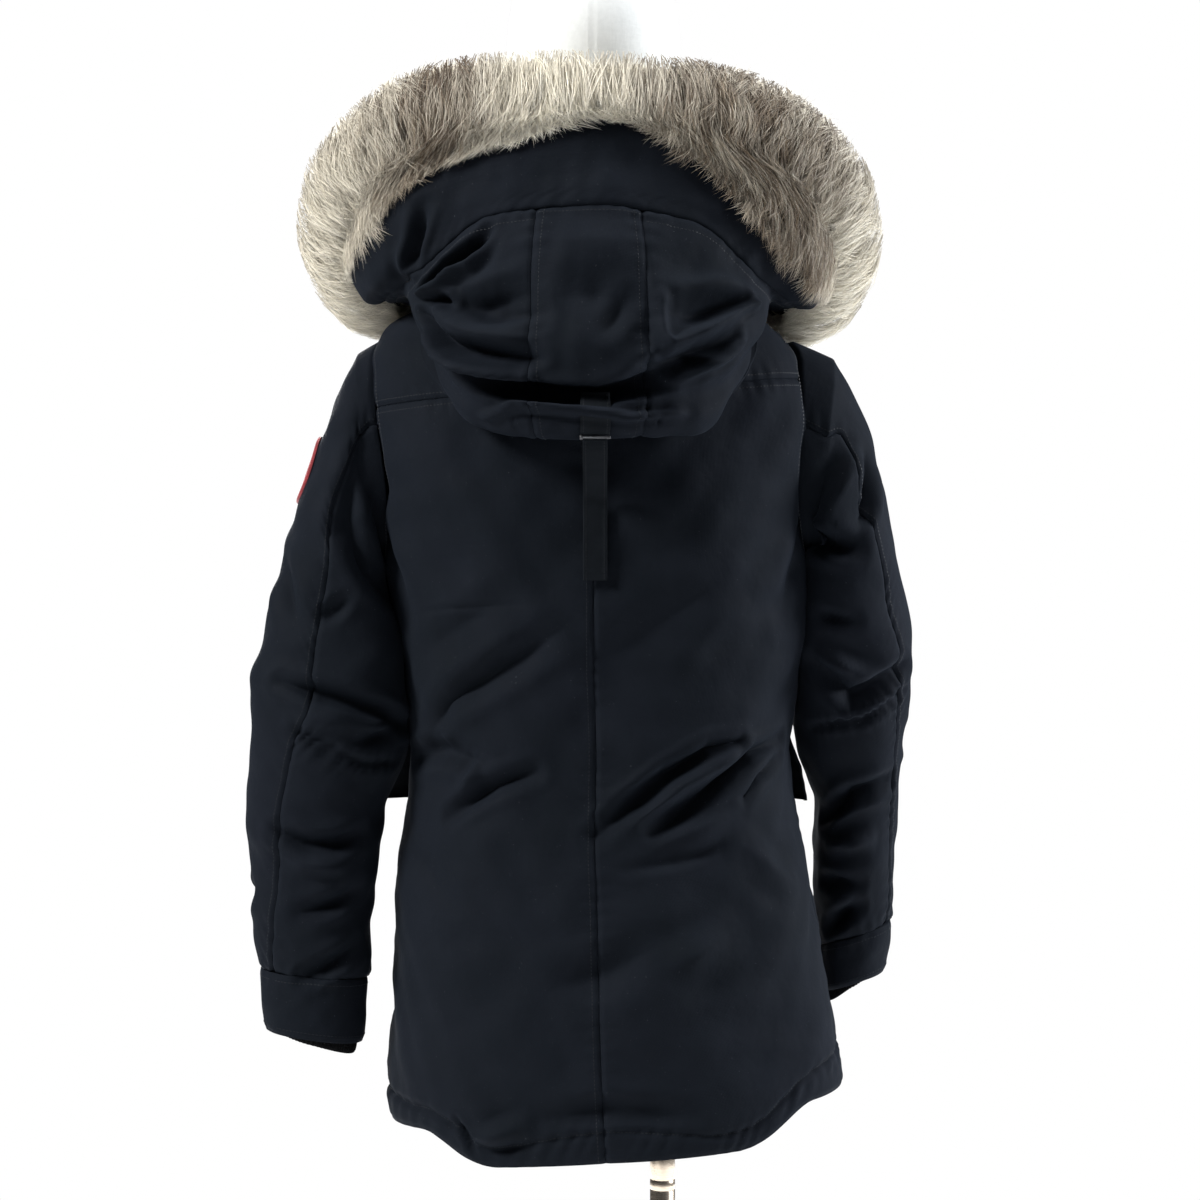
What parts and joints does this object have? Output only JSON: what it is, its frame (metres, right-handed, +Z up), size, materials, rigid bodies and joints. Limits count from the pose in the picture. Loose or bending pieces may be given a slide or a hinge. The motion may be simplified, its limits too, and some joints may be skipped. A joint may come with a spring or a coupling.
{
  "type": "parka on a dress form",
  "caption": "Padded mid-thigh parka with a fur-edged hood lying down its back, filled out on a limbless fabric dress form with a steel pole and round plate.",
  "frame": {"origin": "centre of the bounding box at floor level, below the middle of the parka", "axes": "+Z up, the parka's front faces -Y and the wearer's left is +X"},
  "size_m": [0.5844, 0.3745, 1.7212],
  "materials": {
    "shell": "matte blue-black cotton and polyester weave over down",
    "knit": "black ribbed knit",
    "strap": "matte blue-black double cloth with edge stitching",
    "fur": "long cream guard hair over a tan and brown undercoat",
    "bar": "dark grey satin",
    "patch": "plain dark red twill",
    "linen": "off-white linen, tightly covered",
    "steel": "warm brushed steel"
  },
  "bodies": {
    "root": {"back_left": "shell", "back_right": "shell", "back_yoke": "shell", "front_left": "shell", "front_right": "shell", "collar": "shell", "placket": "shell", "sleeve_outer_left": "shell", "sleeve_under_left": "shell", "sleeve_outer_right": "shell", "sleeve_under_right": "shell", "cuff_left": "shell", "cuff_right": "shell", "knit_cuff_left": "knit", "knit_cuff_right": "knit", "pocket_left": "shell", "pocket_right": "shell", "pocket_flap_left": "shell", "pocket_flap_right": "shell", "hood_brim": "shell", "hood_centre": "shell", "hood_side_left": "shell", "hood_side_right": "shell", "fur_ruff": "fur", "strap_tab": "strap", "strap_tail": "strap", "strap_bar": "bar", "sleeve_patch": "patch", "form_torso": "linen", "form_head": "linen", "stand_pole": "steel", "stand_hub": "steel", "stand_base": "steel"}
  },
  "joints": []
}
